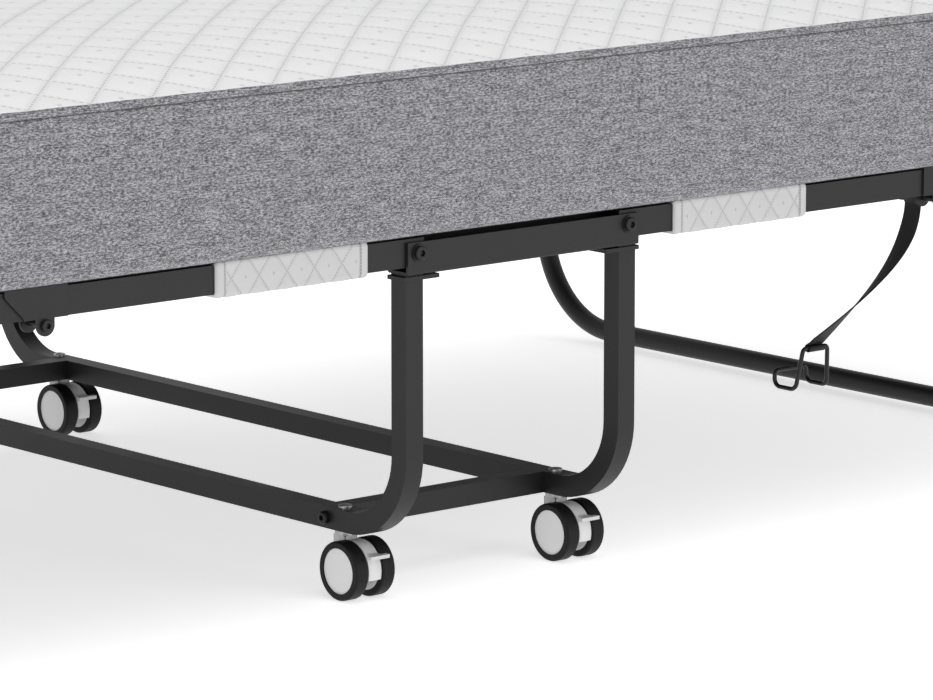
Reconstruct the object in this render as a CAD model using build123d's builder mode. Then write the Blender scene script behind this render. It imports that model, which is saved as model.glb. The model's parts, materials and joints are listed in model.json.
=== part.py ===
"""Rollaway folding cot: a steel bed frame that folds upwards over a wheeled cart, with its mattress.

Millimetres, +Z up. The origin is on the floor under the middle of the bed. X runs along the bed,
Y across it. The bed is mirrored left to right and near (-Y) to far (+Y), apart from the casters,
which all trail towards -Y, and the lock strap, which hangs from the right half only.
"""

import os
from math import cos, radians, sin

from build123d import *

# Bed and mattress
bed_length = 1904.0
bed_width = 920.0
mattress_border_height = 139.6
mattress_crown = 33.0
mattress_crown_reach = 300.0
core_thickness = 95.0
mattress_corner = 22.0
soft_gap = 0.3

# Side rails and the folding pivots in the centre channels
mattress_overhang = 8.0
frame_end_inset = 10.0
frame_corner_radius = 60.0
rail_width = 20.0
rail_height = 23.5
rail_wall = 1.5
rail_bottom_height = 289.6
pivot_spacing = 230.6
rail_past_pivot = 8.0
splice_position = 498.0
splice_gap = 1.0
pivot_bolt_radius = 4.0
pivot_head_radius = 6.0
pivot_head_height = 3.6
pivot_washer_radius = 7.5
pivot_washer_thickness = 1.2
hinge_nut_radius = 7.5
hinge_nut_height = 5.0
nut_thread_showing = 1.0
running_gap = 0.05

# Centre channels and posts
channel_past_pivot = 11.5
channel_wall = 2.5
channel_side_gap = 0.5
channel_height = 27.0
channel_floor_gap = 4.0
cap_plate_thickness = 3.2
cap_plate_drop = 1.5
cap_plate_outboard = 3.5
cap_plate_inboard = 17.0
cap_plate_side = 2.0
cap_plate_corner = 2.0

# Cart tubes
cart_tube = 18.5
cart_wall = 1.5
post_past_pivot = 1.8
caster_head_room = 5.25
cart_bend_radius = 65.0
cross_tube_inset = 95.6
cross_plug_length = 14.0
cross_bolt_radius = 3.0
cross_bolt_head_radius = 5.5
cross_bolt_head_height = 5.0
cross_bolt_end_room = 2.0
bolt_hole_gap = 0.3

# Casters
caster_inset = 81.0
wheel_radius = 25.2
tyre_width = 13.5
tyre_thickness = 5.8
tyre_edge_radius = 2.0
hub_recess = 1.2
housing_width = 13.0
wheel_gap = 1.0
caster_trail = 15.4
axle_radius = 3.0
axle_end_room = 4.0
housing_below_tyre = 2.0
housing_neck_width = 15.0
housing_neck_height = 30.0
housing_boss_radius = 9.7
housing_skirt_cut = 3.5
stem_radius = 4.0
collar_radius = 9.0
collar_height = 3.6
stem_depth = 27.0
stem_end_room = 1.0
stem_screw_radius = 3.0
stem_screw_head = 6.0
stem_screw_rise = 2.6
stem_screw_reach = 9.0
stem_thread_room = 3.0
lever_width = 9.0
lever_pad_width = 20.0
lever_pad_length = 5.0
lever_reach = 12.0
lever_thickness = 3.0
lever_pin_radius = 1.5
lever_angle = 41.2
lever_inset = 1.9
lever_slot_length = 19.0
lever_slot_height = 9.0
lever_slot_back = 4.5
lever_slot_rise = 1.0
lever_slot_side_gap = 0.5

# Deck wires
deck_wire_radius = 2.5
deck_long_radius = 2.0
deck_wire_pitch = 47.0
deck_wire_from_pivot = 29.7
deck_long_spacing = 170.0
deck_long_count = 5
centre_wire_count = 5

# Splice brackets
bracket_plate = 2.0
bracket_inboard = 29.5
bracket_outboard = 30.5
bracket_bolt_inboard = 8.0
bracket_bolt_below_rail = 5.4
bracket_lobe_radius = 8.5
bracket_slant_outboard = 11.0
bracket_slant_rise = 20.0
bracket_bolt_radius = 3.0
bracket_head_radius = 5.0
bracket_head_height = 3.5
bracket_nut_radius = 5.8
bracket_nut_height = 4.0

# Rail sleeves
sleeve_start = 168.0
sleeve_end = 324.0
sleeve_padding = 3.6

# U legs
leg_tube_radius = 10.0
leg_tube_wall = 1.2
leg_bend_radius = 100.0
leg_rail_gap = 4.6
leg_from_end = 124.0
leg_lean = 1.67
leg_above_pivot = 9.0
leg_bolt_radius = 4.0
leg_bolt_head_radius = 8.0
leg_bolt_head_height = 4.0
leg_spacer_radius = 9.0
leg_stop_thickness = 3.0
leg_stop_height = 9.0
leg_stop_gap = 0.9
foot_clip_inboard = 16.6
foot_clip_length = 24.0
foot_clip_wall = 2.6
foot_clip_sole = 3.1
foot_clip_sole_width = 14.0
foot_clip_mouth = 13.0

# Lock strap and its wire hook
strap_width = 20.0
strap_side_room = 0.5
strap_twist_start = 0.27
strap_thickness = 2.0
strap_drop = 133.0
strap_lean = 53.0
strap_sweep = 68.0
hook_wire_radius = 2.0
hook_width = 30.0
hook_low_width = 39.0
hook_drop = 37.5
hook_lean = 5.0
hook_mouth = 27.0
hook_rise = 14.0
hook_corner = 4.5
hook_bend = 7.0

# Worked out from the sizes above
half_length = bed_length / 2
frame_width = bed_width - 2 * mattress_overhang
rail_y = (frame_width - rail_width) / 2
rail_inner_y = rail_y - rail_width / 2
rail_top_height = rail_bottom_height + rail_height
deck_height = rail_top_height + soft_gap
pivot_x = pivot_spacing / 2
pivot_z = rail_bottom_height + rail_height / 2
channel_bottom = rail_bottom_height - channel_floor_gap - channel_wall
channel_width = rail_width + 2 * (channel_side_gap + channel_wall)
channel_end = pivot_x + channel_past_pivot
cart_x = pivot_x + post_past_pivot
cart_tube_height = 2 * wheel_radius + caster_head_room + cart_tube / 2
frame_end = half_length - frame_end_inset
cross_y = rail_y - cross_tube_inset
caster_y = rail_y - caster_inset
collar_bottom = cart_tube_height - cart_tube / 2 - collar_height
deck_wire_first = pivot_x + deck_wire_from_pivot
deck_wire_room = frame_end - rail_width / 2 - frame_corner_radius - deck_wire_radius - deck_wire_first
deck_wire_count = int(deck_wire_room / deck_wire_pitch) + 1
bracket_inner_end = splice_position - bracket_inboard
bracket_outer_end = splice_position + bracket_outboard
bracket_bolt_x = splice_position - bracket_bolt_inboard
bracket_bolt_z = rail_bottom_height - bracket_bolt_below_rail
bracket_span = rail_width + 2 * bracket_plate
strap_bolt_room = strap_width + 2 * strap_side_room
leg_position = half_length - leg_from_end
leg_bar_height = leg_tube_radius + foot_clip_sole
leg_y = frame_width / 2 + leg_rail_gap + leg_tube_radius
foot_clip_y = leg_y - leg_bend_radius - foot_clip_inboard
fold_sides = (("left", -1), ("right", 1))
width_sides = (("near", -1), ("far", 1))

os.makedirs("parts", exist_ok=True)


def write(builder, name):
    """Labels one finished sub-part and writes it as parts/name.step."""
    builder.part.label = name
    export_step(builder.part, f"parts/{name}.step")


def facing_x(x, y, z, sign):
    """A place whose own Z axis points along +X or -X."""
    return Location((x, y, z), (0, 90 * sign, 0))


def facing_y(x, y, z, sign):
    """A place whose own Z axis points along +Y or -Y."""
    return Location((x, y, z), (-90 * sign, 0, 0))


def socket_screw(head_radius, head_height, shank_radius, shank_length):
    """A screw with its head above Z = 0 and its shank below, with a hexagon socket in the head."""
    head_edge = 0.35 * head_height
    socket_radius = 0.5 * head_radius
    socket_depth = 0.6 * head_height
    with BuildPart() as screw:
        with BuildSketch(Plane.XY):
            Circle(head_radius)
        extrude(amount=head_height)
        fillet(screw.edges().sort_by(Axis.Z)[-1], head_edge)
        with BuildSketch(Plane.XY.offset(head_height)):
            RegularPolygon(socket_radius, 6)
        extrude(amount=-socket_depth, mode=Mode.SUBTRACT)
        with BuildSketch(Plane.XY):
            Circle(shank_radius)
        extrude(amount=-shank_length)
    return screw.part


def washer(outer_radius, inner_radius, thickness):
    """A flat washer from Z = 0 down."""
    with BuildPart() as ring:
        with BuildSketch(Plane.XY):
            Circle(outer_radius)
            Circle(inner_radius, mode=Mode.SUBTRACT)
        extrude(amount=-thickness)
    return ring.part


def hex_nut(across_corners_radius, bore_radius, height):
    """A nut from Z = 0 down."""
    with BuildPart() as nut:
        with BuildSketch(Plane.XY):
            RegularPolygon(across_corners_radius, 6)
            Circle(bore_radius, mode=Mode.SUBTRACT)
        extrude(amount=-height)
    return nut.part


# Cart: two U frames with their posts, two cross tubes and the bolts that join them
post_top = channel_bottom
stem_hole_radius = stem_screw_radius + bolt_hole_gap
cross_hole_radius = cross_bolt_radius + bolt_hole_gap
for side, sx in fold_sides:
    with BuildPart() as u_frame:
        with BuildLine(Plane.YZ.offset(sx * cart_x)) as u_route:
            FilletPolyline(
                (-rail_y, post_top),
                (-rail_y, cart_tube_height),
                (rail_y, cart_tube_height),
                (rail_y, post_top),
                radius=cart_bend_radius,
            )
        with BuildSketch(Plane(origin=u_route.line @ 0, z_dir=u_route.line % 0)):
            Rectangle(cart_tube, cart_tube)
            Rectangle(cart_tube - 2 * cart_wall, cart_tube - 2 * cart_wall, mode=Mode.SUBTRACT)
        sweep()
        with Locations(*[facing_x(sx * cart_x, sy * cross_y, cart_tube_height, 1) for sy in (-1, 1)]):
            Cylinder(cross_hole_radius, 2 * cart_tube, mode=Mode.SUBTRACT)
        with Locations(*[(sx * cart_x, sy * caster_y, cart_tube_height) for sy in (-1, 1)]):
            Cylinder(stem_hole_radius, 2 * cart_tube, mode=Mode.SUBTRACT)
    write(u_frame, f"cart_u_frame_{side}")

cross_length = 2 * cart_x - cart_tube
cross_inside = cart_tube - 2 * cart_wall
for side, sy in width_sides:
    with BuildPart() as cross_tube:
        with BuildSketch(Plane.YZ.offset(-cross_length / 2)):
            with Locations((sy * cross_y, cart_tube_height)):
                Rectangle(cart_tube, cart_tube)
                Rectangle(cross_inside, cross_inside, mode=Mode.SUBTRACT)
        extrude(amount=cross_length)
        for sx in (-1, 1):
            with BuildSketch(Plane.YZ.offset(sx * cross_length / 2)):
                with Locations((sy * cross_y, cart_tube_height)):
                    Rectangle(cross_inside, cross_inside)
                    Circle(cross_bolt_radius, mode=Mode.SUBTRACT)
            extrude(amount=-sx * cross_plug_length)
    write(cross_tube, f"cross_tube_{side}")

cross_bolt_length = cart_tube + cross_plug_length - cross_bolt_end_room
cross_bolt = socket_screw(
    cross_bolt_head_radius, cross_bolt_head_height, cross_bolt_radius, cross_bolt_length
)
with BuildPart() as cross_bolts:
    for sx in (-1, 1):
        for sy in (-1, 1):
            with Locations(facing_x(sx * (cart_x + cart_tube / 2), sy * cross_y, cart_tube_height, sx)):
                add(cross_bolt)
write(cross_bolts, "cross_tube_bolts")

# Cap plates on the posts and the two open-topped centre channels
cap_length = cart_tube + cap_plate_outboard + cap_plate_inboard
cap_width = cart_tube + 2 * cap_plate_side
cap_top = channel_bottom - cap_plate_drop
with BuildPart() as cap_plates:
    for sx in (-1, 1):
        for sy in (-1, 1):
            cap_x = sx * (cart_x + (cap_plate_outboard - cap_plate_inboard) / 2)
            with BuildSketch(Plane.XY.offset(cap_top)):
                with Locations((cap_x, sy * rail_y)):
                    RectangleRounded(cap_length, cap_width, cap_plate_corner)
                with Locations((sx * cart_x, sy * rail_y)):
                    Rectangle(cart_tube, cart_tube, mode=Mode.SUBTRACT)
            extrude(amount=-cap_plate_thickness)
write(cap_plates, "post_cap_plates")

for side, sy in width_sides:
    with BuildPart() as channel:
        with BuildSketch(Plane.YZ.offset(-channel_end)):
            with Locations((sy * rail_y, channel_bottom + channel_height / 2)):
                Rectangle(channel_width, channel_height)
            inside_height = channel_height - channel_wall
            with Locations((sy * rail_y, channel_bottom + channel_wall + inside_height / 2)):
                Rectangle(channel_width - 2 * channel_wall, inside_height, mode=Mode.SUBTRACT)
        extrude(amount=2 * channel_end)
        outer_corners = channel.edges().filter_by(Axis.X).group_by(Axis.Z)[0]
        fillet(outer_corners, channel_wall * 0.8)
        with Locations(*[facing_y(sx * pivot_x, sy * rail_y, pivot_z, 1) for sx in (-1, 1)]):
            Cylinder(pivot_bolt_radius, 2 * channel_width, mode=Mode.SUBTRACT)
    write(channel, f"centre_channel_{side}")

pivot_washer = washer(pivot_washer_radius, pivot_bolt_radius, pivot_washer_thickness)
hinge_nut = hex_nut(hinge_nut_radius, pivot_bolt_radius, hinge_nut_height)
pivot_length = pivot_washer_thickness + channel_width + hinge_nut_height + nut_thread_showing
pivot_bolt = socket_screw(pivot_head_radius, pivot_head_height, pivot_bolt_radius, pivot_length)
with BuildPart() as pivot_bolts:
    for sx in (-1, 1):
        for sy in (-1, 1):
            outer_face = sy * (rail_y + channel_width / 2)
            inner_face = sy * (rail_y - channel_width / 2)
            washer_face = outer_face + sy * pivot_washer_thickness
            with Locations(facing_y(sx * pivot_x, washer_face, pivot_z, sy)):
                add(pivot_bolt)
                add(pivot_washer)
            with Locations(facing_y(sx * pivot_x, inner_face, pivot_z, sy)):
                add(hinge_nut)
write(pivot_bolts, "pivot_bolts")


# Deck wires: steel wires across the bed, welded between the rails or channels, and long ones under them
def cross_wire(x, top_z, half_width):
    """One deck wire across the bed at x, flush with top_z, with its ends at half_width."""
    with BuildPart() as wire:
        with BuildSketch(Plane.XZ.offset(-half_width)):
            with Locations((x, top_z - deck_wire_radius)):
                Circle(deck_wire_radius)
        extrude(amount=2 * half_width)
    return wire.part


def long_wires(start_x, end_x, top_z):
    """The wires along the bed that lie under the cross wires, whose tops are at top_z."""
    long_z = top_z - 2 * deck_wire_radius - deck_long_radius
    with BuildPart() as wires:
        with BuildSketch(Plane.YZ.offset(start_x)):
            with GridLocations(deck_long_spacing, 1, deck_long_count, 1):
                with Locations((0, long_z)):
                    Circle(deck_long_radius)
        extrude(amount=end_x - start_x)
    return wires.part


channel_top = channel_bottom + channel_height
centre_wire_span = (centre_wire_count - 1) * deck_wire_pitch
with BuildPart() as centre_deck:
    for index in range(centre_wire_count):
        wire_x = index * deck_wire_pitch - centre_wire_span / 2
        add(cross_wire(wire_x, channel_top, rail_y - channel_width / 2))
    add(long_wires(-centre_wire_span / 2, centre_wire_span / 2, channel_top))
write(centre_deck, "centre_deck_wires")

for side, sx in fold_sides:
    with BuildPart() as deck:
        for index in range(deck_wire_count):
            wire_x = deck_wire_first + index * deck_wire_pitch
            past_inner_end = wire_x > bracket_inner_end - 2 * deck_wire_radius
            before_outer_end = wire_x < bracket_outer_end + 2 * deck_wire_radius
            beside_bracket = past_inner_end and before_outer_end
            half_width = rail_inner_y - (bracket_plate if beside_bracket else 0)
            add(cross_wire(sx * wire_x, rail_top_height, half_width))
        add(long_wires(sx * deck_wire_first, sx * (frame_end - rail_width), rail_top_height))
    write(deck, f"deck_wires_{side}")

# Inner side rails, each hinged in a centre channel
for side, sx in fold_sides:
    rail_start = sx * (pivot_x - rail_past_pivot)
    rail_length = splice_position - splice_gap / 2 - pivot_x + rail_past_pivot
    for depth, sy in width_sides:
        with BuildPart() as rail:
            with BuildSketch(Plane.YZ.offset(rail_start)):
                with Locations((sy * rail_y, pivot_z)):
                    Rectangle(rail_width, rail_height)
                    Rectangle(rail_width - 2 * rail_wall, rail_height - 2 * rail_wall, mode=Mode.SUBTRACT)
            extrude(amount=sx * rail_length)
            with Locations(facing_y(sx * pivot_x, sy * rail_y, pivot_z, 1)):
                Cylinder(pivot_bolt_radius + running_gap, 2 * rail_width, mode=Mode.SUBTRACT)
        write(rail, f"inner_rail_{side}_{depth}")

# End frames: outer side rails and end rail bent from one tube, with welded stops for the legs
stop_top = pivot_z - leg_above_pivot
stop_x = leg_position + leg_tube_radius + leg_stop_gap + leg_stop_thickness / 2
stop_y = frame_width / 2 + leg_rail_gap
for side, sx in fold_sides:
    outer_start = sx * (splice_position + splice_gap / 2)
    end_x = sx * (frame_end - rail_width / 2)
    with BuildPart() as end_frame:
        with BuildLine(Plane.XY.offset(pivot_z)) as end_route:
            FilletPolyline(
                (outer_start, -rail_y),
                (end_x, -rail_y),
                (end_x, rail_y),
                (outer_start, rail_y),
                radius=frame_corner_radius,
            )
        with BuildSketch(Plane.YZ.offset(outer_start)):
            with Locations((-rail_y, pivot_z)):
                Rectangle(rail_width, rail_height)
                Rectangle(rail_width - 2 * rail_wall, rail_height - 2 * rail_wall, mode=Mode.SUBTRACT)
        sweep()
        for sy in (-1, 1):
            with Locations((sx * stop_x, sy * stop_y, stop_top - leg_stop_height / 2)):
                Box(leg_stop_thickness, 2 * leg_rail_gap, leg_stop_height)
            with Locations(facing_y(sx * leg_position, sy * rail_y, pivot_z, 1)):
                Cylinder(leg_bolt_radius, 2 * rail_width, mode=Mode.SUBTRACT)
    write(end_frame, f"end_frame_{side}")

# Splice brackets: folded plates over the rail joints, with a bolt under each rail
bracket_top = rail_top_height + bracket_plate
bracket_cut = 2 * rail_height
bracket_slant_foot = splice_position + bracket_slant_outboard
for side, sx in fold_sides:
    with BuildPart() as brackets:
        for sy in (-1, 1):
            with BuildSketch(Plane.XZ.offset(-sy * (rail_inner_y - bracket_plate))):
                with BuildLine():
                    Polyline(
                        (sx * bracket_inner_end, bracket_top),
                        (sx * bracket_inner_end, rail_bottom_height),
                        (sx * bracket_slant_foot, rail_bottom_height),
                        (sx * bracket_outer_end, rail_bottom_height + bracket_slant_rise),
                        (sx * bracket_outer_end, bracket_top),
                        close=True,
                    )
                make_face()
                with Locations((sx * bracket_bolt_x, bracket_bolt_z)):
                    Circle(bracket_lobe_radius)
                with Locations((sx * bracket_bolt_x, bracket_bolt_z + bracket_lobe_radius / 2)):
                    Rectangle(2 * bracket_lobe_radius, bracket_lobe_radius)
            extrude(amount=-sy * bracket_span)
            with Locations((sx * splice_position, sy * rail_y, rail_top_height - bracket_cut / 2)):
                Box(2 * splice_position, rail_width, bracket_cut, mode=Mode.SUBTRACT)
            with Locations(facing_y(sx * bracket_bolt_x, sy * rail_y, bracket_bolt_z, 1)):
                Cylinder(bracket_bolt_radius, 3 * rail_width, mode=Mode.SUBTRACT)
    write(brackets, f"splice_brackets_{side}")

# Splice bolts: a socket head outside, a nut inside; the near right one is longer, for the strap
splice_nut = hex_nut(bracket_nut_radius, bracket_bolt_radius, bracket_nut_height)
for side, sx in fold_sides:
    with BuildPart() as splice_bolts:
        for sy in (-1, 1):
            room = strap_bolt_room if (sx, sy) == (1, -1) else 0.0
            outer_face = sy * (rail_y + bracket_span / 2)
            nut_face = sy * (rail_y - bracket_span / 2 - room)
            shank = bracket_span + room + bracket_nut_height + nut_thread_showing
            bolt = socket_screw(bracket_head_radius, bracket_head_height, bracket_bolt_radius, shank)
            with Locations(facing_y(sx * bracket_bolt_x, outer_face, bracket_bolt_z, sy)):
                add(bolt)
            with Locations(facing_y(sx * bracket_bolt_x, nut_face, bracket_bolt_z, sy)):
                add(splice_nut)
    write(splice_bolts, f"splice_bolts_{side}")

# Padded sleeves: they wrap the outside, top and bottom of the inner rails
for side, sx in fold_sides:
    with BuildPart() as sleeves:
        for sy in (-1, 1):
            with BuildSketch(Plane.YZ.offset(sx * sleeve_start)):
                with Locations((sy * (rail_y + sleeve_padding / 2), pivot_z)):
                    Rectangle(rail_width + sleeve_padding, rail_height + 2 * sleeve_padding)
                with Locations((sy * rail_y, pivot_z)):
                    Rectangle(rail_width, rail_height, mode=Mode.SUBTRACT)
            extrude(amount=sx * (sleeve_end - sleeve_start))
    write(sleeves, f"rail_sleeves_{side}")

# U legs: round tube bent twice, leaning a little outwards, so that a load holds them on their stops
leg_drop = (pivot_z - leg_bar_height) / cos(radians(leg_lean))
for side, sx in fold_sides:
    lean_down = Vector(sx * sin(radians(leg_lean)), 0, -cos(radians(leg_lean)))
    leg_pivot = (sx * leg_position, 0, pivot_z)
    leg_plane = Plane(origin=leg_pivot, x_dir=(0, 1, 0), z_dir=Vector(0, 1, 0).cross(-lean_down))
    with BuildPart() as leg:
        with BuildLine(leg_plane) as leg_route:
            FilletPolyline(
                (-leg_y, leg_above_pivot),
                (-leg_y, -leg_drop),
                (leg_y, -leg_drop),
                (leg_y, leg_above_pivot),
                radius=leg_bend_radius,
            )
        with BuildSketch(Plane(origin=leg_route.line @ 0, z_dir=leg_route.line % 0)):
            Circle(leg_tube_radius)
            Circle(leg_tube_radius - leg_tube_wall, mode=Mode.SUBTRACT)
        sweep()
        with Locations(*[facing_y(sx * leg_position, sy * leg_y, pivot_z, 1) for sy in (-1, 1)]):
            Cylinder(leg_bolt_radius + running_gap, 3 * leg_tube_radius, mode=Mode.SUBTRACT)
    write(leg, f"leg_frame_{side}")

    bar_x = sx * (leg_position + leg_drop * sin(radians(leg_lean)))
    clip_radius = leg_tube_radius + foot_clip_wall
    with BuildPart() as foot_clips:
        for sy in (-1, 1):
            with BuildSketch(Plane.XZ.offset(-sy * (foot_clip_y - foot_clip_length / 2))):
                with Locations((bar_x, leg_bar_height)):
                    Circle(clip_radius)
                with Locations((bar_x, leg_bar_height / 2)):
                    Rectangle(foot_clip_sole_width, leg_bar_height)
                with Locations((bar_x, leg_bar_height)):
                    Circle(leg_tube_radius, mode=Mode.SUBTRACT)
                with Locations((bar_x, leg_bar_height + clip_radius)):
                    Rectangle(foot_clip_mouth, 2 * clip_radius, mode=Mode.SUBTRACT)
            extrude(amount=-sy * foot_clip_length)
    write(foot_clips, f"leg_foot_clips_{side}")

# Leg hinge bolts with their spacer washers and nuts, fixed to the end frames
leg_spacer = washer(leg_spacer_radius, leg_bolt_radius, leg_rail_gap - soft_gap)
leg_nut = hex_nut(hinge_nut_radius, leg_bolt_radius, hinge_nut_height)
leg_outer_y = leg_y + leg_tube_radius + soft_gap
spacer_y = frame_width / 2 + leg_rail_gap - soft_gap
leg_bolt_length = leg_outer_y - rail_inner_y + hinge_nut_height + nut_thread_showing
leg_bolt = socket_screw(leg_bolt_head_radius, leg_bolt_head_height, leg_bolt_radius, leg_bolt_length)
for side, sx in fold_sides:
    with BuildPart() as leg_bolts:
        for sy in (-1, 1):
            with Locations(facing_y(sx * leg_position, sy * leg_outer_y, pivot_z, sy)):
                add(leg_bolt)
            with Locations(facing_y(sx * leg_position, sy * spacer_y, pivot_z, sy)):
                add(leg_spacer)
            with Locations(facing_y(sx * leg_position, sy * rail_inner_y, pivot_z, sy)):
                add(leg_nut)
    write(leg_bolts, f"leg_hinge_bolts_{side}")

# Casters: stem, swivelling housing, two wheels on one axle and a brake lever on each
wheel_inner_x = housing_width / 2 + wheel_gap
wheel_outer_x = wheel_inner_x + tyre_width
hub_radius = wheel_radius - tyre_thickness
housing_radius = wheel_radius - housing_below_tyre
stem_hole = stem_radius + running_gap
stem_thread_depth = stem_screw_reach + stem_thread_room
stem_hole_depth = stem_depth + stem_end_room
housing_top = collar_bottom - soft_gap
lever_orbit = housing_radius - lever_inset
lever_y = -lever_orbit * sin(radians(90 - lever_angle))
lever_z = wheel_radius + lever_orbit * sin(radians(lever_angle))
lever_slot_width = lever_width + 2 * lever_slot_side_gap
for name_x, sx in fold_sides:
    for name_y, sy in width_sides:
        place = f"{name_x}_{name_y}"
        centre_x = sx * cart_x
        stem_y = sy * caster_y
        axle_y = stem_y - caster_trail

        with BuildPart() as stem:
            with BuildSketch(Plane.XY.offset(collar_bottom)):
                with Locations((centre_x, stem_y)):
                    Circle(collar_radius)
            extrude(amount=collar_height)
            with BuildSketch(Plane.XY.offset(collar_bottom)):
                with Locations((centre_x, stem_y)):
                    Circle(stem_radius)
            extrude(amount=-stem_depth)
            with Locations((centre_x, stem_y, collar_bottom + collar_height)):
                Cylinder(stem_screw_radius, 2 * stem_thread_depth, mode=Mode.SUBTRACT)
        write(stem, f"caster_stem_{place}")

        with BuildPart() as housing:
            with BuildSketch(Plane.YZ.offset(centre_x - housing_width / 2)):
                with Locations((axle_y, wheel_radius)):
                    Circle(housing_radius)
                with Locations((axle_y, wheel_radius - housing_skirt_cut - housing_radius)):
                    Rectangle(2 * housing_radius, 2 * housing_radius, mode=Mode.SUBTRACT)
                with Locations((axle_y, wheel_radius)):
                    Circle(housing_boss_radius)
                with Locations((stem_y, housing_top - housing_neck_height / 2)):
                    Rectangle(housing_neck_width, housing_neck_height)
            extrude(amount=housing_width)
            with Locations((centre_x, stem_y, housing_top)):
                Cylinder(stem_hole, 2 * stem_hole_depth, mode=Mode.SUBTRACT)
            with Locations(facing_x(centre_x, axle_y, wheel_radius, 1)):
                Cylinder(axle_radius + running_gap, 2 * housing_width, mode=Mode.SUBTRACT)
            slot_y = axle_y + lever_y
            slot_middle_y = slot_y + lever_slot_back - lever_slot_length / 2
            with Locations((centre_x, slot_middle_y, lever_z + lever_slot_rise)):
                Box(lever_slot_width, lever_slot_length, lever_slot_height, mode=Mode.SUBTRACT)
            with Locations(facing_x(centre_x, slot_y, lever_z, 1)):
                Cylinder(lever_pin_radius, housing_width, mode=Mode.SUBTRACT)
        write(housing, f"caster_housing_{place}")

        with BuildPart() as tyres:
            for wheel in (-1, 1):
                with BuildSketch(Plane.YZ.offset(centre_x + wheel * wheel_inner_x)):
                    with Locations((axle_y, wheel_radius)):
                        Circle(wheel_radius)
                        Circle(hub_radius, mode=Mode.SUBTRACT)
                extrude(amount=wheel * tyre_width)
            rims = tyres.edges().filter_by(GeomType.CIRCLE)
            fillet(rims.filter_by(lambda edge: edge.radius > hub_radius), tyre_edge_radius)
        write(tyres, f"caster_tyres_{place}")

        with BuildPart() as hubs:
            for wheel in (-1, 1):
                with BuildSketch(Plane.YZ.offset(centre_x + wheel * wheel_inner_x)):
                    with Locations((axle_y, wheel_radius)):
                        Circle(hub_radius)
                extrude(amount=wheel * (tyre_width - hub_recess))
            with Locations(facing_x(centre_x, axle_y, wheel_radius, 1)):
                Cylinder(axle_radius, 2 * (wheel_outer_x - axle_end_room))
        write(hubs, f"caster_hubs_{place}")

        with BuildPart() as lever:
            with Locations(facing_x(centre_x, slot_y, lever_z, 1)):
                Cylinder(lever_thickness, lever_width)
                Cylinder(lever_pin_radius - running_gap, housing_width)
            with Locations((centre_x, slot_y - lever_reach / 2, lever_z)):
                Box(lever_width, lever_reach, lever_thickness)
            with Locations((centre_x, slot_y - lever_reach, lever_z)):
                Box(lever_pad_width, lever_pad_length, lever_thickness)
        write(lever, f"brake_lever_{place}")

stem_screw_length = cart_tube + stem_screw_reach
stem_screw = socket_screw(stem_screw_head, stem_screw_rise, stem_screw_radius, stem_screw_length)
with BuildPart() as stem_screws:
    for sx in (-1, 1):
        for sy in (-1, 1):
            with Locations((sx * cart_x, sy * caster_y, cart_tube_height + cart_tube / 2)):
                add(stem_screw)
write(stem_screws, "caster_stem_screws")


# Mattress. Its rigid core is cut at 45 degrees at the fold lines, so that the halves meet the
# centre block when the bed is folded. The softer foam above and in the notches gives way. The top
# is crowned across the bed, from the height of the border to a flat middle.
core_top = deck_height + core_thickness
border_top = deck_height + mattress_border_height
mattress_top = border_top + mattress_crown
crown_flat = bed_width / 2 - mattress_crown_reach
sleeve_top = pivot_z + rail_height / 2 + sleeve_padding
core_rise_bottom = deck_height - pivot_z
core_rise_top = core_top - pivot_z
soft_rise_top = mattress_top - pivot_z


def foam_block(points, name, corner_x=None, crowned=True, dents=()):
    """A block of foam with the given outline in X and Z, as wide as the bed. Each dent is what it
    rests on: two places along X, a place and a width in Y, and a top height."""
    with BuildPart() as block:
        with BuildSketch(Plane.XZ.offset(-bed_width / 2)):
            with BuildLine():
                Polyline(*points, close=True)
            make_face()
        extrude(amount=bed_width)
        if corner_x is not None:
            ends = block.edges().filter_by(Axis.Z).group_by(Axis.X)[0 if corner_x < 0 else -1]
            fillet(ends, mattress_corner)
        if crowned:
            with BuildSketch(Plane.YZ.offset(-half_length)):
                with BuildLine():
                    Line((-crown_flat, mattress_top), (crown_flat, mattress_top))
                    TangentArc((crown_flat, mattress_top), (bed_width / 2, border_top), tangent=(1, 0))
                    Polyline(
                        (bed_width / 2, border_top),
                        (bed_width / 2, deck_height),
                        (-bed_width / 2, deck_height),
                        (-bed_width / 2, border_top),
                    )
                    TangentArc((-crown_flat, mattress_top), (-bed_width / 2, border_top), tangent=(-1, 0))
                make_face()
            extrude(amount=bed_length, mode=Mode.INTERSECT)
        for start_x, end_x, centre_y, width, top in dents:
            with Locations(((start_x + end_x) / 2, centre_y, deck_height)):
                Box(
                    abs(end_x - start_x) + 2 * soft_gap,
                    width + 2 * soft_gap,
                    2 * (top - deck_height + soft_gap),
                    mode=Mode.SUBTRACT,
                )
    write(block, name)


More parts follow.
